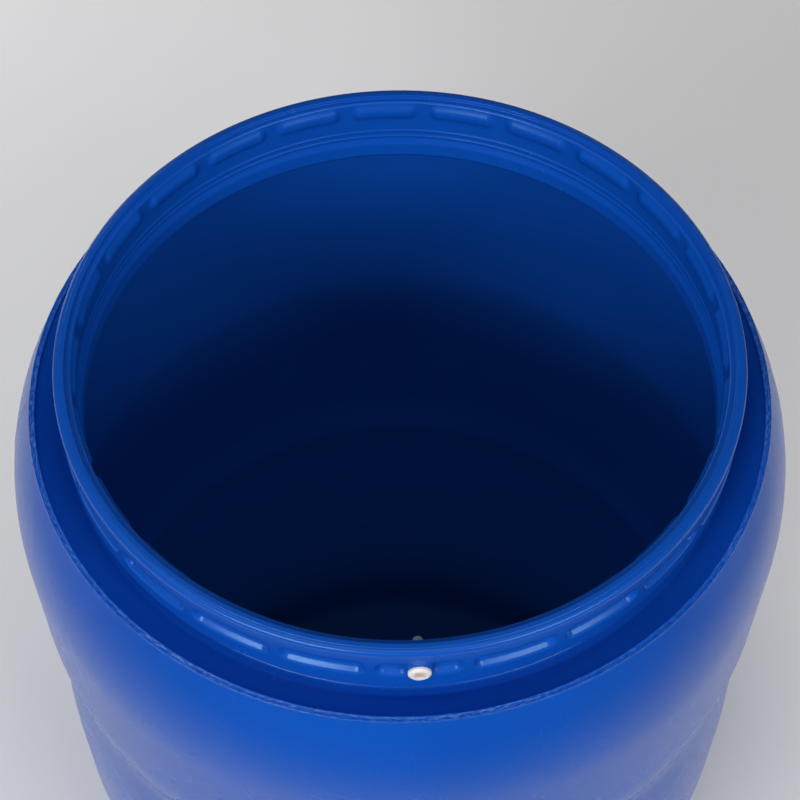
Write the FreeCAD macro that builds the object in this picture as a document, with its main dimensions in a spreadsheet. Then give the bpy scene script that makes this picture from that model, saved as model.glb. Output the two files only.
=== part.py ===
import FreeCAD, Part
import math
import os

import Sketcher
from FreeCAD import Placement, Rotation, Vector

# Plastic open head drum with its push-in rim plug, and the removable closure
# that belongs to it: lid, gasket and lever-lock closing ring.
# The origin is the centre of the base, +Z runs up the drum's axis, and the
# rim plug faces -Y. The lid leans against the back of the drum, on the +Y
# side, and the closing ring leans against the lid.
#
# The drum and the closure are drawn where they work: "drop" values count
# down from the top of the rim, and the closure's own frame has its origin in
# the rim's top plane, with +Z out of the top of the lid.

DOC = FreeCAD.newDocument("open_head_drum")

DRIVING_SIZES = [
    # drum shell
    ("drum_height", 930.0),
    ("body_radius", 292.5),
    ("lower_radius", 290.0),
    ("wall", 4.0),
    ("dome_drop", 146.0),
    ("dome_curve", 204.0),
    ("upper_waist_drop", 295.0),
    ("upper_waist_depth", 7.0),
    ("upper_waist_rise", 60.0),
    ("upper_waist_fall", 120.0),
    ("lower_waist_drop", 537.0),
    ("lower_waist_depth", 6.0),
    ("lower_waist_half", 48.0),
    ("base_corner", 32.0),
    ("base_pad_radius", 100.0),
    ("base_channel_radius", 215.0),
    ("base_channel_depth", 6.0),
    ("base_channel_slope", 8.0),
    # shoulder ledge and its raised edge
    ("edge_radius", 269.0),
    ("edge_drop", 48.5),
    ("edge_width", 3.5),
    ("edge_height", 2.0),
    ("edge_flank", 0.6),
    ("corner_fill", 2.0),
    ("gutter_drop", 60.0),
    ("gutter_curve", 6.0),
    ("gutter_end", 250.0),
    # neck and rim band
    ("neck_radius", 236.5),
    ("neck_bore", 230.0),
    ("rim_radius", 244.5),
    ("rim_drop", 45.6),
    ("rim_corner", 2.0),
    ("rim_crown", 4.5),
    ("mouth_radius", 232.0),
    ("seal_inner", 236.5),
    ("seal_height", 1.8),
    ("pad_radius", 228.5),
    ("pad_top_drop", 4.0),
    ("pad_foot_drop", 22.0),
    ("pad_slope", 5.0),
    # recesses round the outside of the rim, gaps between the pads inside
    ("recess_count", 24.0),
    ("recess_floor", 240.0),
    ("recess_length", 55.0),
    ("recess_top_drop", 14.0),
    ("recess_foot_drop", 30.0),
    ("recess_corner", 6.0),
    ("pad_gap", 14.0),
    ("pad_gap_corner", 3.0),
    # push-in plug
    ("plug_drop", 24.0),
    ("plug_hole", 5.0),
    ("plug_boss", 9.2),
    ("plug_boss_root", 2.0),
    ("plug_boss_rise", 0.2),
    ("plug_shank", 4.95),
    ("plug_head", 7.8),
    ("plug_brim", 1.2),
    ("plug_crown", 3.2),
    ("plug_crown_curve", 9.5),
    ("plug_flat", 3.0),
    ("plug_seat_gap", 0.5),
    ("plug_length", 26.0),
    ("plug_tip", 1.5),
    # lid
    ("lid_bore", 246.0),
    ("lid_radius", 249.5),
    ("lid_flange_under", 3.0),
    ("lid_flange_top", 6.0),
    ("lid_skirt_drop", 20.0),
    ("lid_plug_radius", 227.5),
    ("lid_plug_wall", 4.0),
    ("lid_plug_drop", 18.0),
    ("lid_panel", 4.0),
    ("lid_bevel", 2.0),
    ("lid_shoulder", 2.5),
    ("lid_step_radius", 150.0),
    ("lid_step", 5.0),
    ("lid_rib_count", 12.0),
    ("lid_rib_start", 156.0),
    ("lid_rib_root", 1.0),
    ("lid_rib_length", 56.0),
    ("lid_rib_width", 4.0),
    ("lid_rib_height", 6.0),
    ("gasket_inner", 233.0),
    ("gasket_outer", 244.0),
    # closing ring band
    ("sheet", 1.5),
    ("ring_radius", 252.0),
    ("ring_top", 8.0),
    ("ring_foot_drop", 49.2),
    ("ring_top_leg", 14.0),
    ("ring_foot_leg", 12.0),
    ("ring_gap", 10.0),
    ("weld_sink", 2.0),
    # lever, link and brackets
    ("pin_radius", 262.0),
    ("pivot_turn", 7.2),
    ("throw_turn", 5.25),
    ("catch_turn", 7.2),
    ("lever_turn", 37.0),
    ("lever_lead", 1.6),
    ("lever_nose", 7.0),
    ("lever_inner", 257.5),
    ("lever_outer", 272.5),
    ("lever_half", 14.0),
    ("lever_plate", 1.8),
    ("lever_trim", 5.0),
    ("ear_half", 11.6),
    ("ear_plate", 2.6),
    ("ear_radius", 6.0),
    ("ear_flare", 2.0),
    ("fork_floor", 2.0),
    ("rivet_radius", 2.95),
    ("rivet_bore", 3.02),
    ("rivet_head", 5.0),
    ("rivet_head_height", 1.6),
    ("rivet_head_edge", 0.6),
    ("bar_half", 20.0),
    ("bar_plate", 2.4),
    ("bar_width", 8.4),
    ("bridge", 2.6),
    ("bridge_gap", 5.0),
    ("tab_slot_half", 3.4),
    ("tab_slot_reach", 7.0),
    ("catch_half", 13.0),
    ("catch_plate", 3.0),
    ("catch_height", 13.0),
    ("catch_foot", 11.0),
    ("catch_bevel", 2.0),
    ("catch_clearance", 1.4),
    ("seal_tab_turn", 28.0),
    ("seal_tab_height", 26.0),
    ("seal_tab_half", 6.0),
    ("seal_eye", 2.5),
    ("seal_eye_inset", 4.0),
    # where the closure is put down
    ("lean", 8.0),
    ("lean_gap", 0.6),
    ("stack_gap", 0.8),
]

# Longer than any wall that a pocket has to cut right through.
THROUGH = 30.0


class Dim:
    """A size: its number, and the spreadsheet expression that it comes from."""

    def __init__(self, value, text):
        self.value = value
        self.text = text

    def _with(self, other, sign, value):
        text = other.text if isinstance(other, Dim) else str(other)
        return Dim(value, "(%s %s %s)" % (self.text, sign, text))

    def __add__(self, other):
        return self._with(other, "+", self.value + number(other))

    def __sub__(self, other):
        return self._with(other, "-", self.value - number(other))

    def __mul__(self, other):
        return self._with(other, "*", self.value * number(other))

    def __truediv__(self, other):
        return self._with(other, "/", self.value / number(other))

    def __neg__(self):
        return Dim(-self.value, "(-1 * %s)" % self.text)


def number(size):
    return size.value if isinstance(size, Dim) else float(size)


def make_sheet():
    """Write the driving sizes to the spreadsheet, and return them by name."""
    sheet = DOC.addObject("Spreadsheet::Sheet", "Sizes")
    sizes = {}
    for row, (name, value) in enumerate(DRIVING_SIZES, start=1):
        sheet.set("A%d" % row, name)
        sheet.set("B%d" % row, str(value))
        sheet.setAlias("B%d" % row, name)
        sizes[name] = Dim(value, "Sizes.%s" % name)
    DOC.recompute()
    return sizes


S = make_sheet()


# ---------------------------------------------------------------- drawing

def new_body(label):
    body = DOC.addObject("PartDesign::Body", label)
    body.Label = label
    return body


def origin_feature(body, role):
    for feature in body.Origin.OriginFeatures:
        if feature.Role == role:
            return feature
    raise RuntimeError("no origin feature " + role)


def new_sketch(body, name, role, offset=None, turn=None):
    """A sketch on an origin plane, moved along its normal or turned about it."""
    sketch = body.newObject("Sketcher::SketchObject", name)
    sketch.AttachmentSupport = [(origin_feature(body, role), "")]
    sketch.MapMode = "FlatFace"
    if turn is not None:
        sketch.AttachmentOffset = Placement(Vector(), Rotation(Vector(0, 0, 1), number(turn)))
    if offset is not None:
        sketch.AttachmentOffset = Placement(Vector(0, 0, number(offset)), Rotation())
        if isinstance(offset, Dim):
            sketch.setExpression("AttachmentOffset.Base.z", offset.text)
    return sketch


def bind(sketch, constraint, size):
    """Add a constraint, driven by the sheet where the size comes from it."""
    index = sketch.addConstraint(constraint)
    if isinstance(size, Dim):
        sketch.setExpression("Constraints[%d]" % index, size.text)


def fix_point(sketch, edge, end, x, y):
    """Hold one end of an edge at x, y."""
    if number(x) == 0:
        sketch.addConstraint(Sketcher.Constraint("PointOnObject", edge, end, -2))
    else:
        bind(sketch, Sketcher.Constraint("DistanceX", edge, end, number(x)), x)
    if number(y) == 0:
        sketch.addConstraint(Sketcher.Constraint("PointOnObject", edge, end, -1))
    else:
        bind(sketch, Sketcher.Constraint("DistanceY", edge, end, number(y)), y)


def arc_middle(start, end, radius, side):
    """The middle of the short arc whose centre is on the side (+1 left) of its chord."""
    chord = end - start
    half = chord.Length / 2
    left = Vector(-chord.y, chord.x, 0).normalize()
    height = radius - math.sqrt(max(radius * radius - half * half, 0.0))
    return (start + end) / 2 - left * (side * height)


def draw_loop(sketch, corners):
    """Draw a closed outline.

    Each corner is (x, y), or (x, y, radius, side) where the edge that leaves
    it is an arc with its centre on the left (+1) or on the right (-1).
    """
    points = [Vector(number(c[0]), number(c[1]), 0) for c in corners]
    ends = []
    for i, corner in enumerate(corners):
        start = points[i]
        end = points[(i + 1) % len(points)]
        if len(corner) == 2:
            edge = sketch.addGeometry(Part.LineSegment(start, end), False)
            ends.append((edge, 1, 2))
            continue
        middle = arc_middle(start, end, number(corner[2]), corner[3])
        if corner[3] > 0:
            edge = sketch.addGeometry(Part.Arc(start, middle, end), False)
            ends.append((edge, 1, 2))
        else:
            edge = sketch.addGeometry(Part.Arc(end, middle, start), False)
            ends.append((edge, 2, 1))
    for i, corner in enumerate(corners):
        edge, start_end, far_end = ends[i]
        next_edge, next_start, _ = ends[(i + 1) % len(ends)]
        sketch.addConstraint(
            Sketcher.Constraint("Coincident", edge, far_end, next_edge, next_start))
        fix_point(sketch, edge, start_end, corner[0], corner[1])
        if len(corner) == 4:
            bind(sketch, Sketcher.Constraint("Radius", edge, number(corner[2])), corner[2])


def draw_rectangle(sketch, left, low, right, high):
    draw_loop(sketch, [(left, low), (right, low), (right, high), (left, high)])


def draw_round_rectangle(sketch, left, low, right, high, corner):
    draw_loop(sketch, [
        (left + corner, low), (right - corner, low, corner, 1),
        (right, low + corner), (right, high - corner, corner, 1),
        (right - corner, high), (left + corner, high, corner, 1),
        (left, high - corner), (left, low + corner, corner, 1),
    ])


def draw_circle(sketch, x, y, radius):
    centre = Vector(number(x), number(y), 0)
    edge = sketch.addGeometry(Part.Circle(centre, Vector(0, 0, 1), number(radius)), False)
    fix_point(sketch, edge, 3, x, y)
    bind(sketch, Sketcher.Constraint("Radius", edge, number(radius)), radius)


# ---------------------------------------------------------------- features

def revolve(body, sketch, kind="Revolution", angle=360.0, midplane=False):
    feature = body.newObject("PartDesign::" + kind, sketch.Name + "_turned")
    feature.Profile = (sketch, [""])
    feature.ReferenceAxis = (sketch, ["V_Axis"])
    feature.Angle = number(angle)
    if isinstance(angle, Dim):
        feature.setExpression("Angle", angle.text)
    feature.Midplane = midplane
    sketch.Visibility = False
    return feature


def pad(body, sketch, length):
    """Pad a sketch equally to both sides of its plane."""
    feature = body.newObject("PartDesign::Pad", sketch.Name + "_pad")
    feature.Profile = (sketch, [""])
    feature.Length = number(length)
    feature.Midplane = True
    if isinstance(length, Dim):
        feature.setExpression("Length", length.text)
    return feature


def pocket(body, sketch, length, midplane=True, reverse=False):
    """Cut a sketch out of the body, and make sure that it does cut."""
    DOC.recompute()
    before = body.Shape.Volume
    feature = body.newObject("PartDesign::Pocket", sketch.Name + "_pocket")
    feature.Profile = (sketch, [""])
    feature.Length = number(length)
    feature.Midplane = midplane
    feature.Reversed = reverse
    if isinstance(length, Dim):
        feature.setExpression("Length", length.text)
    DOC.recompute()
    if not body.Shape.Volume < before - 1e-3:
        raise RuntimeError(feature.Name + " cuts nothing")
    return feature


def groove(body, sketch):
    """Turn a cut all the way round, and make sure that it does cut."""
    DOC.recompute()
    before = body.Shape.Volume
    feature = revolve(body, sketch, "Groove")
    DOC.recompute()
    if not body.Shape.Volume < before - 1e-3:
        raise RuntimeError(feature.Name + " cuts nothing")
    return feature


def repeat_round(body, feature, count):
    pattern = body.newObject("PartDesign::PolarPattern", feature.Name + "_ring")
    pattern.Originals = [feature]
    pattern.Axis = (origin_feature(body, "Z_Axis"), [""])
    pattern.Angle = 360.0
    pattern.Occurrences = int(number(count))
    pattern.setExpression("Occurrences", count.text)
    body.Tip = pattern
    DOC.recompute()
    return pattern


def drop(name):
    """A height on the drum, counted down from the top of the rim."""
    return S["drum_height"] - S[name]


# ---------------------------------------------------------------- drum

def waist(corners, start, end, side):
    """Add an S-bend between two upright stretches, as two equal tangent arcs."""
    rise = start[1] - end[1]
    step = start[0] - end[0]
    radius = (rise * rise + step * step) / (step * 4)
    if number(radius) < 0:
        radius = -radius
    middle = ((start[0] + end[0]) / 2, (start[1] + end[1]) / 2)
    corners.append((start[0], start[1], radius, side))
    corners.append((middle[0], middle[1], radius, -side))


def wall_line(inset):
    """The upright wall from the dome down to the base corner, inset by a thickness."""
    body = S["body_radius"] - inset
    lower = S["lower_radius"] - inset
    upper_waist = body - S["upper_waist_depth"]
    lower_waist = body - S["lower_waist_depth"]
    top = drop("upper_waist_drop")
    low = drop("lower_waist_drop")
    line = []
    line.append((body, drop("dome_drop")))
    waist(line, (body, top + S["upper_waist_rise"]), (upper_waist, top), -1)
    waist(line, (upper_waist, top), (body, top - S["upper_waist_fall"]), 1)
    line.append((body, top - S["upper_waist_fall"]))
    waist(line, (body, low + S["lower_waist_half"]), (lower_waist, low), -1)
    waist(line, (lower_waist, low), (lower, low - S["lower_waist_half"]), 1)
    line.append((lower, low - S["lower_waist_half"]))
    return line


def upward(line):
    """The same open line, drawn from its other end."""
    points = [corner[:2] for corner in line]
    bends = [corner[2:] for corner in line[:-1]]
    points.reverse()
    bends.reverse()
    turned = []
    for i, point in enumerate(points):
        bend = bends[i] if i < len(bends) else ()
        turned.append(point + ((bend[0], -bend[1]) if bend else ()))
    return turned


def base_line(height):
    """The base from the corner to the axis: foot, raised channel and flat middle."""
    channel = S["base_channel_radius"]
    pad_edge = S["base_pad_radius"]
    slope = S["base_channel_slope"]
    raised = S["base_channel_depth"] + height
    return [
        (channel, height),
        (channel - slope, raised),
        (pad_edge + slope, raised),
        (pad_edge, height),
        (0, height),
    ]


def make_drum_body():
    body = new_body("drum_body")
    section = new_sketch(body, "drum_section", "XZ_Plane")
    rim = S["rim_radius"]
    edge = S["edge_radius"]
    wall = S["wall"]
    top = S["drum_height"]
    corner = S["rim_corner"]
    crown = S["rim_crown"]
    mouth = S["mouth_radius"]
    slope = S["pad_slope"]
    shelf = top - S["seal_height"]
    ledge_rise = drop("edge_drop") - S["edge_height"]
    thick = wall + S["corner_fill"]
    outside = [
        (mouth + corner, shelf),
        (S["seal_inner"], shelf),
        (S["seal_inner"], top),
        (rim - crown, top, crown, -1),
        (rim, top - crown),
        (rim, drop("rim_drop") + corner, corner, -1),
        (rim - corner, drop("rim_drop")),
        (S["neck_radius"], drop("rim_drop")),
        (S["neck_radius"], drop("gutter_drop") + S["gutter_curve"], S["gutter_curve"], 1),
        (S["neck_radius"] + S["gutter_curve"], drop("gutter_drop")),
        (S["gutter_end"], drop("gutter_drop")),
        (edge - S["edge_width"], ledge_rise),
        (edge - S["edge_width"] + S["edge_flank"], drop("edge_drop")),
        (edge - S["edge_flank"], drop("edge_drop")),
        (edge, ledge_rise, S["dome_curve"], -1),
    ]
    outside += wall_line(0)
    outside.append((S["lower_radius"], S["base_corner"], S["base_corner"], -1))
    outside.append((S["lower_radius"] - S["base_corner"], 0))
    inside = [
        (S["lower_radius"] - S["base_corner"], wall, S["base_corner"] - wall, 1),
        (S["lower_radius"] - wall, S["base_corner"]),
    ]
    inside += upward(wall_line(wall))
    dome_start = inside.pop()
    inside.append((dome_start[0], dome_start[1], S["dome_curve"] - wall, 1))
    inside += [
        (edge - thick, ledge_rise - thick),
        (S["gutter_end"], drop("gutter_drop") - thick),
        (S["neck_bore"] + S["gutter_curve"], drop("gutter_drop") - thick),
        (S["neck_bore"], drop("gutter_drop") - S["corner_fill"]),
        (S["neck_bore"], drop("rim_drop")),
        (mouth, drop("rim_drop") + slope),
        (mouth, drop("pad_foot_drop")),
        (S["pad_radius"], drop("pad_foot_drop") + slope),
        (S["pad_radius"], drop("pad_top_drop") - slope),
        (mouth, drop("pad_top_drop")),
        (mouth, shelf - corner, corner, -1),
    ]
    floor = list(reversed(base_line(wall)))
    draw_loop(section, outside + base_line(0) + floor + inside)
    revolve(body, section)

    recess = new_sketch(body, "rim_recess", "XZ_Plane", S["recess_floor"])
    draw_round_rectangle(recess, -(S["recess_length"] / 2), drop("recess_foot_drop"),
                         S["recess_length"] / 2, drop("recess_top_drop"), S["recess_corner"])
    cut = pocket(body, recess, THROUGH, midplane=False, reverse=True)
    repeat_round(body, cut, S["recess_count"])

    gap = new_sketch(body, "pad_gap_outline", "XZ_Plane")
    half_pitch = Rotation(Vector(0, 1, 0), 180.0 / number(S["recess_count"]))
    gap.AttachmentOffset = Placement(
        half_pitch.multVec(Vector(0, 0, number(mouth))), half_pitch)
    draw_round_rectangle(gap, -(S["pad_gap"] / 2), drop("pad_foot_drop"),
                         S["pad_gap"] / 2, drop("pad_top_drop"), S["pad_gap_corner"])
    cut = pocket(body, gap, THROUGH, midplane=False)
    repeat_round(body, cut, S["recess_count"])

    boss_foot = S["recess_floor"] - S["plug_boss_root"]
    boss_face = S["rim_radius"] + S["plug_boss_rise"]
    boss = new_sketch(body, "plug_boss_outline", "XZ_Plane", (boss_face + boss_foot) / 2)
    draw_circle(boss, 0, drop("plug_drop"), S["plug_boss"])
    pad(body, boss, boss_face - boss_foot)

    hole = new_sketch(body, "plug_hole_outline", "XZ_Plane", boss_face)
    draw_circle(hole, 0, drop("plug_drop"), S["plug_hole"])
    pocket(body, hole, THROUGH, midplane=False)
    return body


def make_rim_plug():
    """The push-in plug, drawn along +Z with its head's underside at z = 0."""
    body = new_body("rim_plug")
    section = new_sketch(body, "plug_section", "XZ_Plane")
    draw_loop(section, [
        (0, -S["plug_length"]),
        (S["plug_shank"] - S["plug_tip"], -S["plug_length"]),
        (S["plug_shank"], -(S["plug_length"] - S["plug_tip"] * 2)),
        (S["plug_shank"], 0),
        (S["plug_head"], 0),
        (S["plug_head"], S["plug_brim"], S["plug_crown_curve"], 1),
        (S["plug_flat"], S["plug_crown"]),
        (0, S["plug_crown"]),
    ])
    revolve(body, section)
    reach = number(S["rim_radius"] + S["plug_seat_gap"])
    height = number(drop("plug_drop"))
    body.Placement = Placement(Vector(0, -reach, height), Rotation(Vector(1, 0, 0), 90))
    return body


# ---------------------------------------------------------------- lid

def make_lid():
    body = new_body("lid")
    section = new_sketch(body, "lid_section", "XZ_Plane")
    wall = S["lid_plug_wall"]
    plug = S["lid_plug_radius"]
    under = S["lid_flange_under"]
    top = S["lid_flange_top"]
    low = -S["lid_plug_drop"]
    face = low + S["lid_panel"]
    inner = plug - wall
    step = S["lid_step_radius"]
    bevel = S["lid_bevel"]
    shoulder = S["lid_shoulder"]
    draw_loop(section, [
        (0, low + S["lid_step"]),
        (step - S["lid_step"], low + S["lid_step"]),
        (step, low),
        (plug - bevel, low),
        (plug, low + bevel),
        (plug, under),
        (S["lid_bore"], under),
        (S["lid_bore"], -S["lid_skirt_drop"]),
        (S["lid_radius"], -S["lid_skirt_drop"]),
        (S["lid_radius"], top - shoulder, shoulder, 1),
        (S["lid_radius"] - shoulder, top),
        (inner + bevel, top),
        (inner, top - bevel),
        (inner, face + wall),
        (inner - wall, face),
        (step, face),
        (step - S["lid_step"], face + S["lid_step"]),
        (0, face + S["lid_step"]),
    ])
    revolve(body, section)

    rib = new_sketch(body, "lid_rib", "XY_Plane", face - S["lid_rib_root"])
    start = S["lid_rib_start"]
    draw_rectangle(rib, start, -(S["lid_rib_width"] / 2),
                   start + S["lid_rib_length"], S["lid_rib_width"] / 2)
    rib_pad = body.newObject("PartDesign::Pad", "lid_rib_pad")
    rib_pad.Profile = (rib, [""])
    rib_pad.setExpression("Length", (S["lid_rib_height"] + S["lid_rib_root"]).text)
    DOC.recompute()
    repeat_round(body, rib_pad, S["lid_rib_count"])
    return body


def make_lid_gasket():
    body = new_body("lid_gasket")
    section = new_sketch(body, "gasket_section", "XZ_Plane")
    draw_rectangle(section, S["gasket_inner"], 0, S["gasket_outer"], S["lid_flange_under"])
    revolve(body, section)
    return body


# ---------------------------------------------------------------- closing ring

def ring_middle():
    """The height of the middle of the band, in the closure's frame."""
    return (S["ring_top"] - S["ring_foot_drop"]) / 2


def make_ring_band():
    """The C-section band. It is turned the long way round from the gap, at +X."""
    body = new_body("ring_band")
    section = new_sketch(body, "band_section", "XZ_Plane")
    outer = -S["ring_radius"]
    inner = outer + S["sheet"]
    top = S["ring_top"]
    foot = -S["ring_foot_drop"]
    bend = S["sheet"] * 2
    draw_loop(section, [
        (outer, foot + bend, bend, 1),
        (outer + bend, foot),
        (outer + S["ring_foot_leg"], foot),
        (outer + S["ring_foot_leg"], foot + S["sheet"]),
        (inner + S["sheet"], foot + S["sheet"], S["sheet"], -1),
        (inner, foot + bend),
        (inner, top - bend, S["sheet"], -1),
        (inner + S["sheet"], top - S["sheet"]),
        (outer + S["ring_top_leg"], top - S["sheet"]),
        (outer + S["ring_top_leg"], top),
        (outer + bend, top, bend, 1),
        (outer, top - bend),
    ])
    revolve(body, section, "Revolution", -S["ring_gap"] + 360.0, midplane=True)
    return body


def trim_to_band(body):
    """Shape the foot of a bracket to the outside of the band."""
    inside = new_sketch(body, "band_space", "XZ_Plane")
    reach = S["ring_radius"]
    draw_rectangle(inside, reach - S["bar_half"], -S["bar_half"] * 2,
                   reach, S["bar_half"] * 2)
    groove(body, inside)


def make_lever_bracket():
    """The fork that holds the lever, drawn round z = 0 with its rivet on the X axis."""
    body = new_body("lever_bracket")
    side = new_sketch(body, "ear_outline", "XY_Plane")
    ear = S["ear_radius"]
    foot = ear + S["ear_flare"]
    root = S["ring_radius"] - S["weld_sink"]
    floor = S["ring_radius"] + S["fork_floor"]
    draw_loop(side, [
        (root, -foot),
        (floor, -foot),
        (S["pin_radius"], -ear, ear, 1),
        (S["pin_radius"] + ear, 0, ear, 1),
        (S["pin_radius"], ear),
        (floor, foot),
        (root, foot),
    ])
    pad(body, side, S["ear_half"] * 2)
    slot = new_sketch(body, "ear_slot", "XZ_Plane")
    half = S["ear_half"] - S["ear_plate"]
    draw_rectangle(slot, floor, -half, S["pin_radius"] + ear * 2, half)
    pocket(body, slot, THROUGH)
    bore = new_sketch(body, "ear_bore", "XY_Plane")
    draw_circle(bore, S["pin_radius"], 0, S["rivet_bore"])
    pocket(body, bore, THROUGH)
    trim_to_band(body)
    return body


def make_catch_bracket():
    """The welded catch that the link's pin hooks behind, on the -Y side of the pin."""
    body = new_body("catch_bracket")
    side = new_sketch(body, "catch_outline", "XY_Plane")
    root = S["ring_radius"] - S["weld_sink"]
    foot = S["ring_radius"] + S["sheet"]
    bevel = S["catch_bevel"]
    face = -(S["rivet_radius"] + S["catch_clearance"])
    back = face - S["catch_plate"]
    draw_loop(side, [
        (root, back),
        (foot + S["catch_height"], back),
        (foot + S["catch_height"], face),
        (foot + bevel, face),
        (foot, face + bevel),
        (foot, S["catch_foot"]),
        (root, S["catch_foot"]),
    ])
    pad(body, side, S["catch_half"] * 2)
    trim_to_band(body)
    return body


def make_seal_tab():
    """The tab on the band that comes up through the lever, with an eye for a seal."""
    body = new_body("seal_tab")
    side = new_sketch(body, "tab_outline", "XZ_Plane")
    root = S["ring_radius"] - S["weld_sink"]
    tip = S["ring_radius"] + S["seal_tab_height"]
    draw_round_rectangle(side, root, -S["seal_tab_half"], tip, S["seal_tab_half"], S["sheet"] * 2)
    pad(body, side, S["sheet"])
    eye = new_sketch(body, "tab_eye", "XZ_Plane")
    draw_circle(eye, tip - S["seal_eye_inset"], 0, S["seal_eye"])
    pocket(body, eye, THROUGH)
    trim_to_band(body)
    return body


def make_lever():
    """The over-centre lever: a curved channel that runs towards -Y.

    It starts on the X axis, so its pivot is a little way round from there.
    """
    body = new_body("lever")
    section = new_sketch(body, "lever_section", "XZ_Plane")
    outer = S["lever_outer"]
    inner = S["lever_inner"]
    half = S["lever_half"]
    plate = S["lever_plate"]
    draw_loop(section, [
        (inner, -half),
        (outer - plate, -half, plate, 1),
        (outer, -half + plate),
        (outer, half - plate, plate, 1),
        (outer - plate, half),
        (inner, half),
        (inner, half - plate),
        (outer - plate, half - plate),
        (outer - plate, -half + plate),
        (inner, -half + plate),
    ])
    turned = revolve(body, section, "Revolution", S["lever_turn"] + S["lever_lead"])
    turned.Reversed = True

    pin = S["pin_radius"]
    nose = S["lever_nose"]
    margin = S["lever_trim"]
    pivot_turn = -S["lever_lead"]
    ends = new_sketch(body, "lever_nose_trim", "XY_Plane", turn=pivot_turn)
    draw_loop(ends, [
        (inner - margin, 0),
        (pin - nose, 0, nose, -1),
        (pin, nose, nose, -1),
        (pin + nose, 0),
        (outer + margin, 0),
        (outer + margin, nose * 3),
        (inner - margin, nose * 3),
    ])
    pocket(body, ends, half * 4)
    web = new_sketch(body, "lever_web_trim", "XY_Plane", turn=pivot_turn)
    draw_rectangle(web, outer - plate * 2, -nose, outer + margin, nose * 3)
    pocket(body, web, (half - plate) * 2)
    bore = new_sketch(body, "lever_rivet_bore", "XY_Plane", turn=pivot_turn)
    draw_circle(bore, pin, 0, S["rivet_radius"])
    pocket(body, bore, half * 4)
    bore = new_sketch(body, "link_rivet_bore", "XY_Plane", turn=pivot_turn - S["throw_turn"])
    draw_circle(bore, pin, 0, S["rivet_bore"])
    pocket(body, bore, half * 4)
    slot = new_sketch(body, "seal_slot", "XY_Plane", turn=pivot_turn - S["seal_tab_turn"])
    draw_rectangle(slot, outer - plate * 2, -S["tab_slot_half"],
                   outer + margin, S["tab_slot_half"])
    pocket(body, slot, S["tab_slot_reach"] * 2)
    return body


def link_length():
    """From the lever's rivet to the catch pin, as a chord of the pin circle."""
    turn = S["pivot_turn"] + S["throw_turn"] + S["catch_turn"]
    half = math.radians(number(turn) / 2)
    text = "(2 * Sizes.pin_radius * sin(%s * 0.5 deg))" % turn.text
    return Dim(2 * number(S["pin_radius"]) * math.sin(half), text)


def make_link():
    """The U-shaped link, drawn along +X from its rivet, with bars outside the lever."""
    body = new_body("link")
    side = new_sketch(body, "link_outline", "XY_Plane")
    width = S["bar_width"] / 2
    reach = link_length()
    end = reach + S["bridge_gap"] + S["bridge"]
    draw_loop(side, [
        (0, -width),
        (end, -width),
        (end, width),
        (0, width, width, 1),
        (-width, 0, width, 1),
    ])
    pad(body, side, S["bar_half"] * 2)
    middle = new_sketch(body, "link_middle", "XY_Plane")
    draw_rectangle(middle, -width * 2, -width * 2, reach + S["bridge_gap"], width * 2)
    pocket(body, middle, (S["bar_half"] - S["bar_plate"]) * 2)
    for name, place in (("link_rivet_hole", 0), ("catch_pin_hole", reach)):
        hole = new_sketch(body, name, "XY_Plane")
        draw_circle(hole, place, 0, S["rivet_radius"])
        pocket(body, hole, S["bar_half"] * 4)
    return body


def make_rivet(label, half_span):
    """A rivet along Z with a domed head at each end."""
    body = new_body(label)
    section = new_sketch(body, label + "_section", "XZ_Plane")
    shank = S["rivet_radius"]
    head = S["rivet_head"]
    tip = half_span + S["rivet_head_height"]
    brim = half_span + S["rivet_head_edge"]
    draw_loop(section, [
        (0, -tip),
        (shank, -tip),
        (head, -brim),
        (head, -half_span),
        (shank, -half_span),
        (shank, half_span),
        (head, half_span),
        (head, brim),
        (shank, tip),
        (0, tip),
    ])
    revolve(body, section)
    return body


# ---------------------------------------------------------------- placing

LEAN = math.radians(number(S["lean"]))
LEAN_TURN = Rotation(Vector(1, 0, 0), number(S["lean"]) - 90.0)


def lid_place():
    """The lid stands on its skirt and leans on the widest part of the drum's back."""
    radius = number(S["lid_radius"])
    skirt = number(S["lid_skirt_drop"])
    back = number(S["body_radius"]) + number(S["lean_gap"])
    return Placement(Vector(0, back + radius * math.sin(LEAN) + skirt * math.cos(LEAN),
                            radius * math.cos(LEAN) + skirt * math.sin(LEAN)), LEAN_TURN)


def ring_place():
    """The ring stands on its lower edge and leans on the top of the lid."""
    foot = number(S["ring_foot_drop"])
    lid = lid_place().Base
    height = number(S["ring_radius"]) * math.cos(LEAN) + foot * math.sin(LEAN)
    stack = number(S["lid_flange_top"]) + foot + number(S["stack_gap"])
    back = (stack - (height - lid.z) * math.sin(LEAN)) / math.cos(LEAN)
    return Placement(Vector(0, lid.y + back, height), LEAN_TURN)


def on_ring(turn, out=0.0, spin=0.0):
    """A place on the ring: turned round it, moved out, and spun about its own pin."""
    middle = Placement(Vector(0, 0, number(ring_middle())), Rotation())
    round_ring = Placement(Vector(), Rotation(Vector(0, 0, 1), number(turn)))
    outward = Placement(Vector(number(out), 0, 0), Rotation(Vector(0, 0, 1), spin))
    return ring_place() * middle * round_ring * outward


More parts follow.
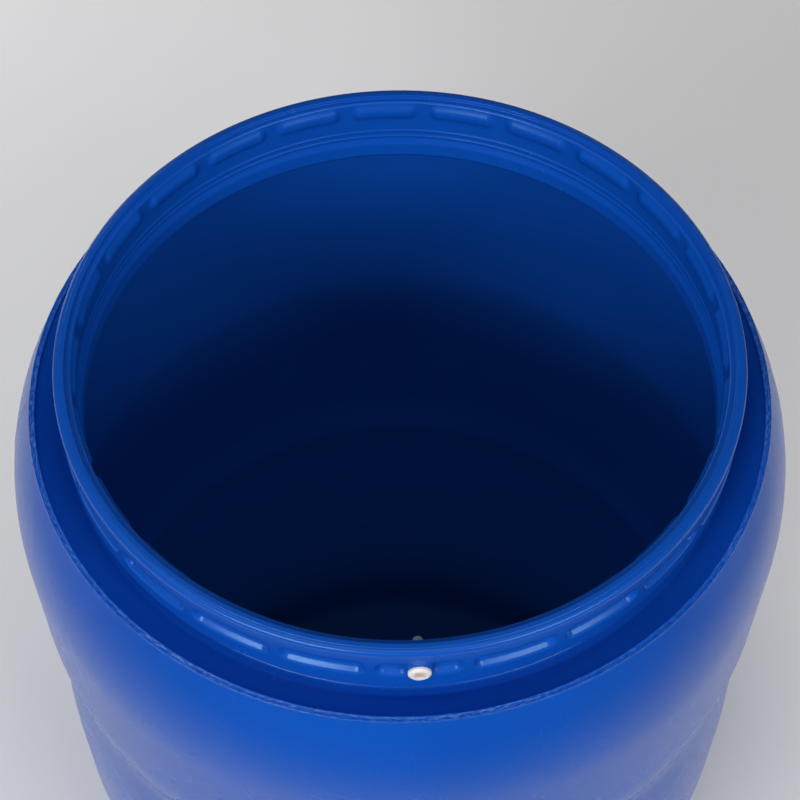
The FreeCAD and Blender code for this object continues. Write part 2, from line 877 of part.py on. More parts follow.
def build_all():
    drum = make_drum_body()
    plug = make_rim_plug()
    lid = make_lid()
    lid.Placement = lid_place()
    gasket = make_lid_gasket()
    gasket.Placement = lid_place()
    band = make_ring_band()
    band.Placement = ring_place()
    pivot = -S["pivot_turn"]
    far_pivot = pivot - S["throw_turn"]
    pin = S["pin_radius"]
    fork = make_lever_bracket()
    fork.Placement = on_ring(pivot)
    catch = make_catch_bracket()
    catch.Placement = on_ring(S["catch_turn"])
    tab = make_seal_tab()
    tab.Placement = on_ring(pivot - S["seal_tab_turn"])
    lever = make_lever()
    lever.Placement = on_ring(pivot + S["lever_lead"])
    lever_rivet = make_rivet("lever_rivet", S["lever_half"])
    lever_rivet.Placement = on_ring(pivot, pin)
    link = make_link()
    chord_middle = (number(far_pivot) + number(S["catch_turn"])) / 2
    link.Placement = on_ring(far_pivot, pin, chord_middle + 90.0 - number(far_pivot))
    link_rivet = make_rivet("link_rivet", S["bar_half"])
    link_rivet.Placement = on_ring(far_pivot, pin)
    catch_pin = make_rivet("catch_pin", S["bar_half"])
    catch_pin.Placement = on_ring(S["catch_turn"], pin)
    return [drum, plug, lid, gasket, band, fork, catch, tab,
            lever, lever_rivet, link, link_rivet, catch_pin]


def check_and_write(bodies):
    """Refuse any failed object or invalid shape, then write one file per sub-part."""
    DOC.recompute()
    for thing in DOC.Objects:
        if "Invalid" in thing.State or "Error" in thing.State:
            raise RuntimeError("%s is in state %s" % (thing.Name, thing.State))
    for body in bodies:
        if body.Shape.isNull() or not body.Shape.isValid():
            raise RuntimeError(body.Label + " has no valid shape")
        if len(body.Shape.Solids) != 1:
            raise RuntimeError(body.Label + " is not one solid")
    os.makedirs("parts", exist_ok=True)
    for body in bodies:
        body.Shape.exportStep("parts/%s.step" % body.Label)
        print("%-15s %11.1f mm3" % (body.Label, body.Shape.Volume))


check_and_write(build_all())
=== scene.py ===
import math

import bmesh
import bpy
import numpy as np
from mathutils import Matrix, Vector


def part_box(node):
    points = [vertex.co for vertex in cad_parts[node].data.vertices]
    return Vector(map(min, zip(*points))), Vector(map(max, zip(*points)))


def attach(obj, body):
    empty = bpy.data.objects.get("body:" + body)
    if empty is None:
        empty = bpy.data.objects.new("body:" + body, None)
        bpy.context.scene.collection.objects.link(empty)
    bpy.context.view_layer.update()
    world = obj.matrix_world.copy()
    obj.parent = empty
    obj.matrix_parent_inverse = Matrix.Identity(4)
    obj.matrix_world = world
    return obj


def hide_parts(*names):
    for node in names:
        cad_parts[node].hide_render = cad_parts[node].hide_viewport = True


# The looks of a blue plastic open head drum. The drum and its rim plug are
# detailed meshes that stand for the CAD ones; the parked lid and closing ring
# keep their CAD shapes and get materials. Lengths are metres, except in the
# drum's outline, which is in millimetres across and below the top of the rim.

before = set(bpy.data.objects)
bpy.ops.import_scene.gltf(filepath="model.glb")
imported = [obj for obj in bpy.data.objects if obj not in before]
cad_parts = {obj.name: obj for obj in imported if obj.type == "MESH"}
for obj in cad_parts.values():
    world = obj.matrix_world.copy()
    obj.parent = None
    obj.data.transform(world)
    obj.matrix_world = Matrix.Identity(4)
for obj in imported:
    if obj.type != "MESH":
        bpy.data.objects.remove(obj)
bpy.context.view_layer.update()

MM = 0.001
DRUM_LOW, DRUM_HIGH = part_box("drum_body")
PLUG_LOW, PLUG_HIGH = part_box("rim_plug")
RIM_TOP = DRUM_HIGH.z
PLUG_HEIGHT = (PLUG_LOW.z + PLUG_HIGH.z) / 2
PLUG_CROWN = 3.2 * MM
PLUG_SEAT = PLUG_LOW.y + PLUG_CROWN

# ------------------------------------------------------------------ the outline

BODY_RADIUS = DRUM_HIGH.x / MM
HEIGHT = RIM_TOP / MM
WALL = 4.0
CORNER_FILL = 2.0           # the wall is thicker by this where the outline turns
LOWER_STEP = 2.5            # the lower wall is that much smaller
DOME_DROP = 146.0
DOME_CURVE = 204.0
BASE_CORNER = 32.0
WAISTS = (                  # (drop of the middle, rise above it, fall below it, depth)
    (295.0, 60.0, 120.0, 7.0),
    (537.0, 48.0, 48.0, 6.0),
)

CREST = 0.10                # roundness of a waist's crest, as a share of its reach
CREST_POWER = 1.6

RECESSES = 24
RIM_RADIUS = 244.5
PITCH = 2.0 * math.pi * RIM_RADIUS / RECESSES
RECESS_MIDDLE = 20.0        # to this far from a recess's middle, it is plain along the rim
RIM_CROWN = 4.5
RIM_DROP = 45.6
MOUTH_RADIUS = 232.0
RIDGE_INNER = 236.5
RIDGE_OUTER = 240.0
SHELF_DROP = 3.0
NECK_RADIUS = 236.5
NECK_BORE = 230.0
GUTTER_DROP = 62.5
GUTTER_END = 243.5
EDGE_RADIUS = 269.0
EDGE_DROP = 48.5
EDGE_WIDTH = 5.2
EDGE_HEIGHT = 2.0
WALL_TOP = 51.0             # just under the raised edge
BEADS = (34.5, 40.5)        # drops of two fine rings inside the neck
BEAD_RISE = 0.9
BEAD_HALF = 1.6

# (depth, half length, top drop, foot drop, corner, flank)
RECESS = (4.5, 29.5, 13.5, 31.0, 7.5, 5.0)
PAD = (3.0, 28.5, 4.0, 22.0, 8.0, 7.5)

PLUG_DROP = (RIM_TOP - PLUG_HEIGHT) / MM
PLUG_HOLE = 5.0
PLUG_BOSS = 9.2             # a flat round seat that fills the recess round the plug
PLUG_BOSS_EDGE = 0.9
PLUG_BOSS_FACE = 244.7
PLUG_OUTLINE = (            # (radius, distance out from the seat, fillet)
    (0.0, -24.5, 0), (2.6, -24.5, 0.8), (4.95, -20.5, 2.0), (4.95, 0.0, 0.3),
    (7.8, 0.0, 0.3), (7.8, 1.9, 1.0), (6.0, 3.2, 1.6), (2.9, 3.2, 0.8),
    (2.2, 2.8, 0.6), (0.0, 2.8, 0),
)

EDGE_RIPPLES = (            # (waves round the drum, size, start)
    (37, 0.08, 0.4),
    (83, 0.06, 1.9),
    (149, 0.04, 0.7),
)
EDGE_MEAN_WEAR = 0.2

SEAM_TURNS = (90.0, 270.0)  # the mould's parting line, seen from the plug
SEAM_HEIGHT = 0.3
SEAM_HALF = 0.8


def smooth(t):
    """0 to 1 with soft ends."""
    t = np.clip(t, 0.0, 1.0)
    return t * t * (3.0 - 2.0 * t)


def wall_radius(drop):
    """The outside radius of the dome and wall at a drop below the rim."""
    if drop < DOME_DROP:
        return BODY_RADIUS - DOME_CURVE + math.sqrt(DOME_CURVE ** 2 - (DOME_DROP - drop) ** 2)
    radius = BODY_RADIUS
    for middle, rise, fall, depth in WAISTS:
        away = abs(drop - middle) / (rise if drop < middle else fall)
        fall_off = (math.hypot(min(away, 1.0), CREST) - CREST) / (math.hypot(1.0, CREST) - CREST)
        radius -= depth * (1.0 - fall_off) ** CREST_POWER
    last_middle, _, last_fall, _ = WAISTS[-1]
    return radius - LOWER_STEP * float(smooth((drop - last_middle) / last_fall))


def rounded(corners, step):
    """An outline of (radius, drop, fillet) corners as close points, its ends left sharp."""
    points = []
    for i, (radius, drop, fillet) in enumerate(corners):
        here = np.array((radius, drop))
        if fillet == 0 or i in (0, len(corners) - 1):
            points.append(here)
            continue
        before = np.array(corners[i - 1][:2]) - here
        after = np.array(corners[i + 1][:2]) - here
        before /= np.linalg.norm(before)
        after /= np.linalg.norm(after)
        bend = math.pi - math.acos(float(np.clip(np.dot(before, after), -1.0, 1.0)))
        reach = fillet * math.tan(bend / 2)
        count = max(3, round(math.degrees(bend) / 11))
        for k in range(count + 1):
            t = k / count
            near = here + before * reach * (1 - t)
            far = here + after * reach * t
            points.append(near * (1 - t) + far * t)
    filled = [points[0]]
    for point in points[1:]:
        gap = np.linalg.norm(point - filled[-1])
        pieces = max(1, math.ceil(gap / step))
        start = filled[-1]
        filled += [start + (point - start) * (k / pieces) for k in range(1, pieces + 1)]
    return filled


def neck_outline():
    """The rim, neck, gutter and raised edge, as one closed ring of wall."""
    edge_foot = EDGE_DROP + EDGE_HEIGHT
    thick = WALL + CORNER_FILL
    bead_outline = []
    for drop in BEADS:
        bead_outline += [
            (MOUTH_RADIUS, drop - BEAD_HALF, 0.8),
            (MOUTH_RADIUS - BEAD_RISE, drop, 0.8),
            (MOUTH_RADIUS, drop + BEAD_HALF, 0.8),
        ]
    return rounded([
        (EDGE_RADIUS - thick, edge_foot + thick, 0),
        (EDGE_RADIUS, edge_foot, 0),
        (EDGE_RADIUS - 0.4, EDGE_DROP, 0.8),
        (EDGE_RADIUS - EDGE_WIDTH / 2, EDGE_DROP + 0.5, 2.0),
        (EDGE_RADIUS - EDGE_WIDTH + 0.4, EDGE_DROP, 0.8),
        (EDGE_RADIUS - EDGE_WIDTH, edge_foot, 0.8),
        (GUTTER_END, GUTTER_DROP, 3.0),
        (NECK_RADIUS, GUTTER_DROP, 3.0),
        (NECK_RADIUS, RIM_DROP, 1.2),
        (RIM_RADIUS, RIM_DROP, 2.4),
        (RIM_RADIUS, 0.3, RIM_CROWN - 0.3),
        (RIDGE_OUTER + 0.2, 0.3, 0.3),
        (RIDGE_OUTER, 0.0, 0.3),
        (RIDGE_INNER, 0.0, 0.5),
        (RIDGE_INNER, SHELF_DROP, 0.4),
        (MOUTH_RADIUS, SHELF_DROP, 2.2),
        *bead_outline,
        (MOUTH_RADIUS, RIM_DROP - 2.0, 2.5),
        (NECK_BORE, RIM_DROP + 3.0, 3.0),
        (NECK_BORE, GUTTER_DROP - 2.0, 2.5),
        (NECK_BORE + 6.0, GUTTER_DROP + thick, 2.5),
        (GUTTER_END, GUTTER_DROP + thick, 5.0),
        (EDGE_RADIUS - thick, edge_foot + thick, 0),
    ], 1.6)[:-1]


def shell_outline():
    """The dome, wall and base: down the outside to the axis and back up the inside."""
    edge_foot = EDGE_DROP + EDGE_HEIGHT
    thick = WALL + CORNER_FILL
    lower = BODY_RADIUS - LOWER_STEP
    foot = HEIGHT - BASE_CORNER
    drops = np.linspace(edge_foot, foot, 92)
    outside = [(wall_radius(drop), drop, 0) for drop in drops]
    outside += [
        (lower, HEIGHT, BASE_CORNER),
        (215.0, HEIGHT, 3.0),
        (207.0, HEIGHT - 6.0, 3.0),
        (108.0, HEIGHT - 6.0, 3.0),
        (100.0, HEIGHT, 3.0),
        (0.0, HEIGHT, 0),
    ]
    inside = [
        (0.0, HEIGHT - WALL, 0),
        (100.0, HEIGHT - WALL, 3.0),
        (108.0, HEIGHT - WALL - 6.0, 3.0),
        (207.0, HEIGHT - WALL - 6.0, 3.0),
        (215.0, HEIGHT - WALL, 3.0),
        (lower - WALL, HEIGHT - WALL, BASE_CORNER - WALL),
    ]
    inside_top = edge_foot + thick + WALL
    inside += [(wall_radius(drop) - WALL, drop, 0) for drop in drops[::-1] if drop > inside_top]
    inside.append((EDGE_RADIUS - thick, edge_foot + thick, 0))
    return rounded(outside, 12.0) + rounded(inside, 12.0)


# ------------------------------------------------------------------ turning

def neck_turns():
    """Angles from the plug round the neck, closer together between the recesses."""
    offsets = np.linspace(-RECESS_MIDDLE, RECESS_MIDDLE, 17).tolist()
    offsets += np.linspace(RECESS_MIDDLE, PITCH - RECESS_MIDDLE, 32)[1:-1].tolist()
    turns = [(k * PITCH + offset) / RIM_RADIUS for k in range(RECESSES) for offset in offsets]
    return np.array(sorted(turns))


def with_seams(turns):
    """The angles, with more of them beside the parting line."""
    extra = []
    for seam in SEAM_TURNS:
        for side in (-2.0, -1.0, -0.5, 0.5, 1.0, 2.0):
            extra.append(math.radians(seam) + side * SEAM_HALF / BODY_RADIUS)
    return np.array(sorted(set(turns.tolist() + extra)))


def seam_rise(turn, radius):
    """How far the parting line stands up at an angle."""
    rise = np.zeros_like(turn)
    for seam in SEAM_TURNS:
        across = np.abs(turn - math.radians(seam)) * radius
        rise += SEAM_HEIGHT * smooth(1.0 - across / SEAM_HALF)
    return rise


def from_recess(turn):
    """Distance round the rim from the middle of the nearest recess."""
    pitch = 2.0 * math.pi / RECESSES
    return np.abs((turn + pitch / 2) % pitch - pitch / 2) * RIM_RADIUS


def inside_box(x, y, half_x, half_y, corner, flank):
    """1 inside a round-cornered rectangle, 0 outside, with soft flanks."""
    dx = np.maximum(np.abs(x) - (half_x - corner), 0.0)
    dy = np.maximum(np.abs(y) - (half_y - corner), 0.0)
    return smooth((corner - np.hypot(dx, dy)) / flank)


def dimple(along, drop, size):
    """How deep a soft-sided dimple of the given size is at a place on the rim."""
    depth, half, top, foot, corner, flank = size
    return depth * inside_box(along, drop - (top + foot) / 2, half, (foot - top) / 2, corner, flank)


def turn_from_plug(turn):
    """The angle from the plug, from -pi to pi."""
    return (turn + math.pi) % (2.0 * math.pi) - math.pi


def shape_neck(radius, drop, turn):
    """Shape the recesses, the pads and the plug's boss, and ripple the raised edge."""
    along = from_recess(turn)
    outside = smooth((radius - (RIM_RADIUS - 0.6)) / 0.3)
    inside = (np.abs(radius - MOUTH_RADIUS) < 0.3) & (drop < RIM_DROP)
    radius = radius - dimple(along, drop, RECESS) * outside - dimple(along, drop, PAD) * inside

    across = np.where(np.cos(turn) > 0, RIM_RADIUS * np.sin(turn), RIM_RADIUS)
    from_plug = np.hypot(across, drop - PLUG_DROP)
    boss = smooth((PLUG_BOSS + PLUG_BOSS_EDGE - from_plug) / PLUG_BOSS_EDGE) * outside
    boss_face = PLUG_BOSS_FACE / np.cos(np.clip(turn_from_plug(turn), -0.1, 0.1))
    radius = radius + (boss_face - radius) * boss

    on_edge = smooth((radius - (EDGE_RADIUS - EDGE_WIDTH - 0.6)) / 0.5) * (drop < EDGE_DROP + 1.2)
    ripple = 0.0
    for waves, size, start in EDGE_RIPPLES:
        ripple = ripple + size * np.sin(turn * waves + start + 1.7 * np.sin(turn * 5 + start))
    drop = drop + (EDGE_MEAN_WEAR + ripple) * on_edge
    return radius, drop


def shape_shell(radius, drop, turn):
    """Let the parting line stand up from the outside of the wall."""
    nearest = np.clip(drop, WALL_TOP, HEIGHT - BASE_CORNER)
    outside = radius > np.vectorize(wall_radius)(nearest) - 0.5
    below_edge = smooth((drop - WALL_TOP - 1.0) / 8.0)
    radius = radius + (seam_rise(turn, BODY_RADIUS) - SEAM_HEIGHT) * outside * below_edge
    return radius, drop


def counts_as_inside(away, drop):
    """Whether a place on the shell's skin gets the inside's material.

    The channel under the base gets it too.
    """
    floor = HEIGHT - WALL
    on_base = HEIGHT - 3 * WALL < drop < floor + 0.5 and away < BODY_RADIUS - LOWER_STEP - BASE_CORNER + WALL
    on_side = drop < HEIGHT - BASE_CORNER and away < wall_radius(max(drop, WALL_TOP)) - WALL + 1.0
    corner_middle = BODY_RADIUS - LOWER_STEP - BASE_CORNER
    into_corner = math.hypot(away - corner_middle, drop - (HEIGHT - BASE_CORNER))
    on_corner = drop < floor + 0.5 and into_corner < BASE_CORNER - WALL / 2
    return on_base or on_side or on_corner


def lathe(name, outline, turns, shape, place):
    """Turn an outline into a smooth mesh.

    shape() moves each (radius, height) point, and place() says where it goes.
    """
    count = len(turns)
    radius = np.repeat(np.array([p[0] for p in outline])[:, None], count, axis=1)
    height = np.repeat(np.array([p[1] for p in outline])[:, None], count, axis=1)
    turn = np.repeat(turns[None, :], len(outline), axis=0)
    radius, height = shape(radius, height, turn)
    places = np.stack(place(radius, height, turn), axis=-1).reshape(-1, 3)
    faces = []
    for row in range(len(outline)):
        below = (row + 1) % len(outline)
        for column in range(count):
            beside = (column + 1) % count
            faces.append((row * count + column, row * count + beside,
                          below * count + beside, below * count + column))
    mesh = bpy.data.meshes.new(name)
    mesh.from_pydata(places.tolist(), [], faces)
    tidy = bmesh.new()
    tidy.from_mesh(mesh)
    bmesh.ops.remove_doubles(tidy, verts=tidy.verts, dist=1e-6)
    bmesh.ops.recalc_face_normals(tidy, faces=tidy.faces)
    tidy.to_mesh(mesh)
    tidy.free()
    mesh.shade_smooth()
    mesh.set_sharp_from_angle(angle=math.radians(55))
    piece = bpy.data.objects.new(name, mesh)
    bpy.context.scene.collection.objects.link(piece)
    return piece


def on_drum(radius, drop, turn):
    """Round the drum's axis, by the drop below the rim; a turn of 0 faces the plug."""
    return radius * np.sin(turn) * MM, -radius * np.cos(turn) * MM, RIM_TOP - drop * MM


def on_plug(radius, out, turn):
    """Round the plug's axis, by the distance out from its seat."""
    return radius * np.sin(turn) * MM, PLUG_SEAT - out * MM, PLUG_HEIGHT + radius * np.cos(turn) * MM


def unshaped(radius, height, turn):
    return radius, height


def cut_hole(piece, centre, axis, radius, length):
    """Bore a round hole through a piece."""
    bpy.ops.mesh.primitive_cylinder_add(vertices=48, radius=radius, depth=length, location=centre)
    cutter = bpy.context.object
    cutter.rotation_mode = "QUATERNION"
    cutter.rotation_quaternion = axis.to_track_quat("Z", "Y")
    bore = piece.modifiers.new("plug_hole", "BOOLEAN")
    bore.object = cutter
    bore.solver = "EXACT"
    bpy.context.view_layer.objects.active = piece
    bpy.ops.object.modifier_apply(modifier=bore.name)
    bpy.data.objects.remove(cutter)


# ------------------------------------------------------------------ materials

class Finish:
    """A material's node tree, with short calls for making and joining nodes."""

    def __init__(self, name):
        self.material = bpy.data.materials.new(name)
        self.material.use_nodes = True
        self.tree = self.material.node_tree
        self.shader = self.tree.nodes["Principled BSDF"]
        self.place = self.add("ShaderNodeTexCoord").outputs["Object"]

    def add(self, kind, **settings):
        node = self.tree.nodes.new(kind)
        for name, value in settings.items():
            setattr(node, name, value)
        return node

    def put(self, socket, value):
        """Join an output to an input, or set the input to a plain value."""
        if hasattr(value, "links"):
            self.tree.links.new(value, socket)
        else:
            socket.default_value = value

    def math(self, operation, *values):
        node = self.add("ShaderNodeMath", operation=operation)
        for socket, value in zip(node.inputs, values):
            self.put(socket, value)
        return node.outputs[0]

    def ramp(self, value, low, high, start=0.0, end=1.0):
        """value from low..high to start..end, held at the ends."""
        node = self.add("ShaderNodeMapRange")
        for socket, number in zip(node.inputs, (value, low, high, start, end)):
            self.put(socket, number)
        return node.outputs[0]

    def noise(self, scale, detail=3.0, place=None, stretch=None):
        place = self.place if place is None else place
        if stretch is not None:
            mapping = self.add("ShaderNodeMapping")
            mapping.inputs["Scale"].default_value = stretch
            self.put(mapping.inputs["Vector"], place)
            place = mapping.outputs[0]
        node = self.add("ShaderNodeTexNoise")
        self.put(node.inputs["Vector"], place)
        node.inputs["Scale"].default_value = scale
        node.inputs["Detail"].default_value = detail
        return node.outputs["Fac"]

    def mix(self, factor, a, b):
        node = self.add("ShaderNodeMix", data_type="RGBA")
        self.put(node.inputs["Factor"], factor)
        self.put(node.inputs[6], a)
        self.put(node.inputs[7], b)
        return node.outputs[2]

    def bump(self, height, distance, strength=1.0, under=None):
        node = self.add("ShaderNodeBump")
        node.inputs["Strength"].default_value = strength
        node.inputs["Distance"].default_value = distance
        self.put(node.inputs["Height"], height)
        if under is not None:
            self.put(node.inputs["Normal"], under)
        return node.outputs[0]

    def round_z(self):
        """Angle, radius and height about the drum's axis."""
        split = self.add("ShaderNodeSeparateXYZ")
        self.put(split.inputs[0], self.place)
        x, y, z = split.outputs
        angle = self.math("ARCTAN2", x, y)
        radius = self.math("SQRT", self.math("ADD", self.math("MULTIPLY", x, x),
                                             self.math("MULTIPLY", y, y)))
        return angle, radius, z

    def gather(self, x, y, z):
        node = self.add("ShaderNodeCombineXYZ")
        for socket, value in zip(node.inputs, (x, y, z)):
            self.put(socket, value)
        return node.outputs[0]


BLUE_DARK = (0.0030, 0.078, 0.47, 1)
BLUE_LIGHT = (0.0040, 0.088, 0.52, 1)
BLUE_RUBBED = (0.20, 0.38, 0.85, 1)
BLUE_SHADED = (0.0005, 0.008, 0.04, 1)
PAINTED_GLOW_BLUE = (0.003, 0.060, 0.25, 1)
BLUE_REFLECTION = (0.52, 0.86, 1.0, 1)
BLACK = (0, 0, 0, 1)


def edge_scuffs(finish, radius, height, streaks):
    """1 where the raised edge is scuffed white, 0 elsewhere."""
    edge_middle = (EDGE_RADIUS - EDGE_WIDTH / 2) * MM
    off_edge = finish.math("ABSOLUTE", finish.math("SUBTRACT", radius, edge_middle))
    on_edge = finish.ramp(off_edge, 1.1 * MM, 2.6 * MM, 1.0, 0.0)
    high = finish.ramp(height, RIM_TOP - (EDGE_DROP + 2.2) * MM, RIM_TOP - (EDGE_DROP + 0.7) * MM)
    scuff = finish.ramp(streaks, 0.46, 0.64)
    patches = finish.ramp(finish.noise(11.0, 3.0), 0.35, 0.62, 0.25, 1.0)
    where = finish.math("MULTIPLY", on_edge, high)
    return finish.math("MULTIPLY", where, finish.math("MULTIPLY", scuff, patches))


def painted_inside_glow(finish, height, clouds):
    """Paint a faint glow on the inside, most of it below the dome and less near the base, with painted
    highlight lines where each waist has its crest.
    """
    # painted highlight: brighter lines in the glow along the crest of each waist
    crest_highlights = 0.0
    for middle, _, _, _ in WAISTS:
        off = finish.math("ABSOLUTE", finish.math("SUBTRACT", height, RIM_TOP - middle * MM))
        crest_highlights = finish.math("ADD", crest_highlights, finish.ramp(off, 1.0 * MM, 5.0 * MM, 1.0, 0.0))
    deep = finish.ramp(height, RIM_TOP - 0.13, RIM_TOP - 0.24, 0.15, 1.0)
    deep = finish.math("MULTIPLY", deep, finish.ramp(height, 0.02, 0.12, 0.35, 1.0))
    uneven = finish.math("ADD", finish.ramp(clouds, 0.3, 0.7, 0.92, 1.08),
                         finish.math("MULTIPLY", crest_highlights, 1.3))
    light = finish.math("MULTIPLY", deep, uneven)
    finish.put(finish.shader.inputs["Emission Color"], finish.mix(light, BLACK, PAINTED_GLOW_BLUE))
    finish.shader.inputs["Emission Strength"].default_value = 0.060


def drum_plastic(name, edge_wear, glow=False):
    """Blue moulded polyethylene: satin, and scuffed along the raised edge.

    With glow it is the inside of the wall: duller, with painted shade that darkens it
    a little everywhere and more towards the base, and with a faint painted glow.
    """
    finish = Finish(name)
    shader = finish.shader
    angle, radius, height = finish.round_z()
    clouds = finish.noise(7.0, 4.0)
    grain = finish.noise(600.0, 2.0)
    colour = finish.mix(finish.ramp(clouds, 0.3, 0.7), BLUE_DARK, BLUE_LIGHT)
    rough = finish.ramp(finish.noise(14.0, 2.0), 0.3, 0.7, 0.267, 0.277)

    round_place = finish.gather(finish.math("MULTIPLY", angle, 60.0),
                                finish.math("MULTIPLY", radius, 900.0),
                                finish.math("MULTIPLY", height, 900.0))
    streaks = finish.noise(1.0, 4.0, round_place)
    marks = finish.ramp(finish.noise(120.0, 6.0, stretch=(1.0, 1.0, 0.4)), 0.66, 0.78)
    rubbed = finish.math("MULTIPLY", marks, 0.02)
    if edge_wear:
        edge = edge_scuffs(finish, radius, height, streaks)
        rubbed = finish.math("MAXIMUM", rubbed, finish.math("MULTIPLY", edge, 0.55))
    colour = finish.mix(rubbed, colour, BLUE_RUBBED)
    dull = finish.math("MULTIPLY", rubbed, 0.25)
    if glow:
        # painted shade: the inside's colour is darkened a little everywhere and much more towards the base
        low = finish.ramp(height, 0.02, 0.20, 1.0, 0.0)
        dull = finish.ramp(low, 0.0, 1.0, 0.15, 0.5)
        colour = finish.mix(finish.ramp(low, 0.0, 1.0, 0.14, 0.75), colour, BLUE_SHADED)
        painted_inside_glow(finish, height, clouds)
    finish.put(shader.inputs["Base Color"], colour)
    finish.put(shader.inputs["Roughness"], finish.math("ADD", rough, dull))
    shader.inputs["IOR"].default_value = 1.44
    shader.inputs["Specular Tint"].default_value = BLUE_REFLECTION

    waves = finish.bump(finish.noise(9.0, 1.0), 0.5 * MM, 0.04)
    surface = finish.bump(grain, 0.03 * MM, 0.05, waves)
    if edge_wear:
        surface = finish.bump(finish.math("MULTIPLY", streaks, edge), 0.4 * MM, 0.4, surface)
    finish.put(shader.inputs["Normal"], surface)
    return finish.material


def plug_plastic():
    """White polyethylene with painted shade that greys the tail, and a faintly pink gate mark on its face.
    """
    finish = Finish("plug_white")
    shader = finish.shader
    tint = finish.noise(220.0, 4.0)
    white = finish.mix(finish.ramp(tint, 0.35, 0.65), (0.80, 0.79, 0.78, 1), (0.90, 0.89, 0.88, 1))
    split = finish.add("ShaderNodeSeparateXYZ")
    finish.put(split.inputs[0], finish.place)
    gate_height = PLUG_HEIGHT + 1.2 * MM
    up = finish.math("SUBTRACT", split.outputs[2], gate_height)
    across = split.outputs[0]
    away = finish.math("SQRT", finish.math("ADD", finish.math("MULTIPLY", up, up),
                                           finish.math("MULTIPLY", across, across)))
    gate = finish.math("MULTIPLY", finish.ramp(away, 2.8 * MM, 5.0 * MM, 1.0, 0.0),
                       finish.ramp(tint, 0.25, 0.6, 0.4, 1.0))
    inward = split.outputs[1]
    gate = finish.math("MULTIPLY", gate, finish.ramp(inward, PLUG_SEAT, PLUG_SEAT + MM, 1.0, 0.0))
    # painted shade: the part of the plug inside the rim is greyed
    tail = finish.ramp(inward, PLUG_SEAT + 12.0 * MM, PLUG_SEAT + 20.0 * MM)
    white = finish.mix(tail, white, (0.30, 0.33, 0.37, 1))
    finish.put(shader.inputs["Base Color"], finish.mix(gate, white, (0.60, 0.42, 0.36, 1)))
    finish.put(shader.inputs["Roughness"], finish.ramp(finish.noise(500.0), 0.3, 0.7, 0.38, 0.52))
    finish.put(shader.inputs["Normal"], finish.bump(finish.noise(900.0), 0.05 * MM, 0.4))
    return finish.material


def gasket_foam():
    """Black closed-cell rubber."""
    finish = Finish("gasket_foam")
    shader = finish.shader
    cells = finish.noise(1400.0, 3.0)
    black = finish.mix(finish.ramp(cells, 0.3, 0.7), (0.012, 0.012, 0.013, 1), (0.040, 0.040, 0.042, 1))
    finish.put(shader.inputs["Base Color"], black)
    finish.put(shader.inputs["Roughness"], finish.ramp(cells, 0.3, 0.7, 0.75, 0.92))
    finish.put(shader.inputs["Normal"], finish.bump(cells, 0.2 * MM, 0.6))
    return finish.material


def zinc(name, dull):
    """Galvanised steel: faint spangle, fine rolling lines and dull patches."""
    finish = Finish(name)
    shader = finish.shader
    shader.inputs["Metallic"].default_value = 1.0
    spangle = finish.add("ShaderNodeTexVoronoi")
    finish.put(spangle.inputs["Vector"], finish.place)
    spangle.inputs["Scale"].default_value = 130.0
    cell = finish.add("ShaderNodeSeparateColor")
    finish.put(cell.inputs[0], spangle.outputs["Color"])
    shade = cell.outputs[0]
    cloud = finish.noise(24.0, 5.0)
    glint = finish.math("MULTIPLY", shade, 0.6)
    colour = finish.mix(glint, (0.52, 0.53, 0.54, 1), (0.68, 0.69, 0.70, 1))
    colour = finish.mix(finish.ramp(cloud, 0.5, 0.75, 0.0, 0.5), colour, (0.34, 0.34, 0.35, 1))
    finish.put(shader.inputs["Base Color"], colour)
    rough = finish.ramp(cloud, 0.3, 0.7, 0.26, 0.42)
    rough = finish.math("ADD", rough, finish.math("MULTIPLY", shade, 0.10))
    finish.put(shader.inputs["Roughness"], finish.math("ADD", rough, dull))
    lines = finish.noise(60.0, 4.0, stretch=(1.0, 1.0, 40.0))
    finish.put(shader.inputs["Normal"], finish.bump(lines, 0.08 * MM, 0.35))
    return finish.material


def paint(node, material):
    node.data.materials.clear()
    node.data.materials.append(material)


# ------------------------------------------------------------------ the drum

neck = lathe("drum_neck", neck_outline(), neck_turns(), shape_neck, on_drum)
cut_hole(neck, Vector((0, PLUG_SEAT, PLUG_HEIGHT)), Vector((0, -1, 0)), PLUG_HOLE * MM, 50 * MM)
shell = lathe("drum_shell", shell_outline(),
              with_seams(np.linspace(0.0, 2.0 * math.pi, 360, endpoint=False)), shape_shell, on_drum)
plug = lathe("rim_plug_cap", rounded(PLUG_OUTLINE, 2.0),
             np.linspace(0.0, 2.0 * math.pi, 64, endpoint=False), unshaped, on_plug)

skin = drum_plastic("drum_blue", True)
for piece in (neck, shell):
    paint(piece, skin)
    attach(piece, "drum")
    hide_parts("drum_body")
shell.data.materials.append(drum_plastic("drum_blue_inside", False, True))
for face in shell.data.polygons:
    away = math.hypot(face.center.x, face.center.y) / MM
    face.material_index = int(counts_as_inside(away, (RIM_TOP - face.center.z) / MM))
paint(plug, plug_plastic())
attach(plug, "plug")
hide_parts("rim_plug")

# ------------------------------------------------------------------ the closure

paint(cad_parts["lid"], drum_plastic("lid_blue", False))
paint(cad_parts["lid_gasket"], gasket_foam())
sheet_zinc = zinc("sheet_zinc", 0.0)
rivet_zinc = zinc("rivet_zinc", 0.08)
for name in ("ring_band", "lever_bracket", "catch_bracket", "seal_tab", "lever", "link"):
    paint(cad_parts[name], sheet_zinc)
for name in ("lever_rivet", "link_rivet", "catch_pin"):
    paint(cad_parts[name], rivet_zinc)

# ------------------------------------------------------------------ the studio

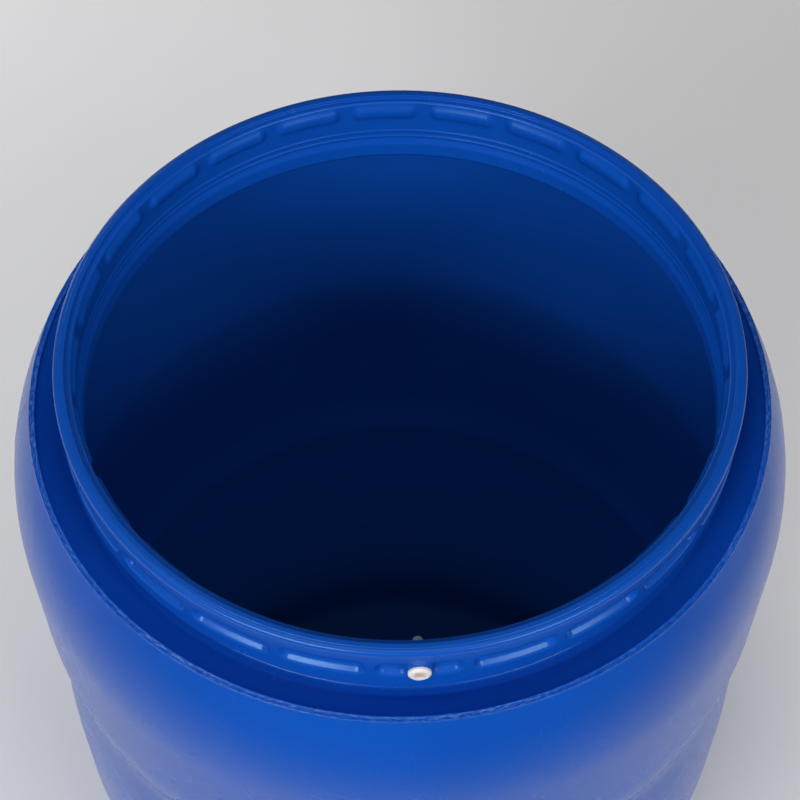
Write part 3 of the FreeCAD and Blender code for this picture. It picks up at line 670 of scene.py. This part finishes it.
def make_floor():
    """A pale paper floor, with painted shade that turns it grey far in front of the drum so that the dome
    stays clear.
    """
    mesh = bpy.data.meshes.new("floor")
    far = 14.0
    corners = [(-far, -far, 0), (far, -far, 0), (far, far, 0), (-far, far, 0)]
    mesh.from_pydata(corners, [], [(0, 1, 2, 3)])
    floor = bpy.data.objects.new("floor", mesh)
    bpy.context.scene.collection.objects.link(floor)
    finish = Finish("floor_paper")
    paper = finish.mix(finish.noise(3.0, 5.0), (0.87, 0.87, 0.88, 1), (0.91, 0.905, 0.91, 1))
    split = finish.add("ShaderNodeSeparateXYZ")
    finish.put(split.inputs[0], finish.place)
    # painted shade: the floor greys from 0.7 m to 1.5 m in front of the drum
    near = finish.ramp(split.outputs[1], -1.5, -0.7)
    finish.put(finish.shader.inputs["Base Color"], finish.mix(near, (0.22, 0.22, 0.225, 1), paper))
    finish.shader.inputs["Roughness"].default_value = 0.7
    floor.data.materials.append(finish.material)


def soft_light(name, place, target, size, power, colour, spread):
    data = bpy.data.lights.new(name, "AREA")
    data.shape = "RECTANGLE"
    data.size, data.size_y = size
    data.energy = power
    data.color = colour
    data.spread = math.radians(spread)
    light = bpy.data.objects.new(name, data)
    light.location = place
    light.rotation_mode = "QUATERNION"
    light.rotation_quaternion = (Vector(target) - Vector(place)).to_track_quat("-Z", "Y")
    bpy.context.scene.collection.objects.link(light)


# Two low softboxes in front light the dome and the back of the inside, and a weak one
# above lights what lies flat. The four at floor height brighten the floor.
make_floor()
soft_light("left", (-1.45, -2.3, 2.15), (0, 0, 0.85), (1.5, 1.1), 20, (1.0, 1.0, 1.0), 110)
soft_light("right", (1.55, -2.25, 2.15), (0, 0, 0.85), (1.5, 1.1), 13, (1.0, 0.99, 0.97), 110)
soft_light("above", (-0.5, -0.4, 4.2), (0, 0.4, 0), (3.6, 1.5), 17, (0.99, 1.0, 1.0), 150)
soft_light("floor_left", (-1.35, 2.0, 0.95), (-0.45, 0.75, 0), (1.4, 0.5), 7.0, (1.0, 1.0, 1.0), 120)
soft_light("floor_right", (1.35, 2.0, 0.95), (0.45, 0.75, 0), (1.4, 0.5), 3.6, (1.0, 0.98, 0.97), 120)
soft_light("side_left", (-1.5, 0.1, 0.45), (-0.5, 0.05, 0), (1.2, 0.3), 0.9, (1.0, 1.0, 1.0), 120)
soft_light("side_right", (1.5, 0.1, 0.45), (0.5, 0.05, 0), (1.2, 0.3), 1.5, (1.0, 0.99, 0.98), 120)

world = bpy.data.worlds.new("studio")
bpy.context.scene.world = world
world.use_nodes = True
world.node_tree.nodes["Background"].inputs["Color"].default_value = (0.82, 0.84, 0.88, 1)
world.node_tree.nodes["Background"].inputs["Strength"].default_value = 0.08

# The camera looks down at the mouth from the plug's side, a little round from it.
CAMERA_BACK = 0.7727
CAMERA_UP = 1.0609
CAMERA_TURN = math.radians(-2.95)
CAMERA_TILT = math.radians(34.27)

camera_data = bpy.data.cameras.new("camera")
camera_data.lens = 83.66
camera_data.sensor_width = 36.0
camera = bpy.data.objects.new("camera", camera_data)
camera.location = (CAMERA_BACK * math.sin(CAMERA_TURN), -CAMERA_BACK * math.cos(CAMERA_TURN),
                   RIM_TOP + CAMERA_UP)
camera.rotation_euler = (CAMERA_TILT, 0, CAMERA_TURN)
bpy.context.scene.collection.objects.link(camera)
bpy.context.scene.camera = camera
bpy.context.scene.view_settings.view_transform = "Standard"
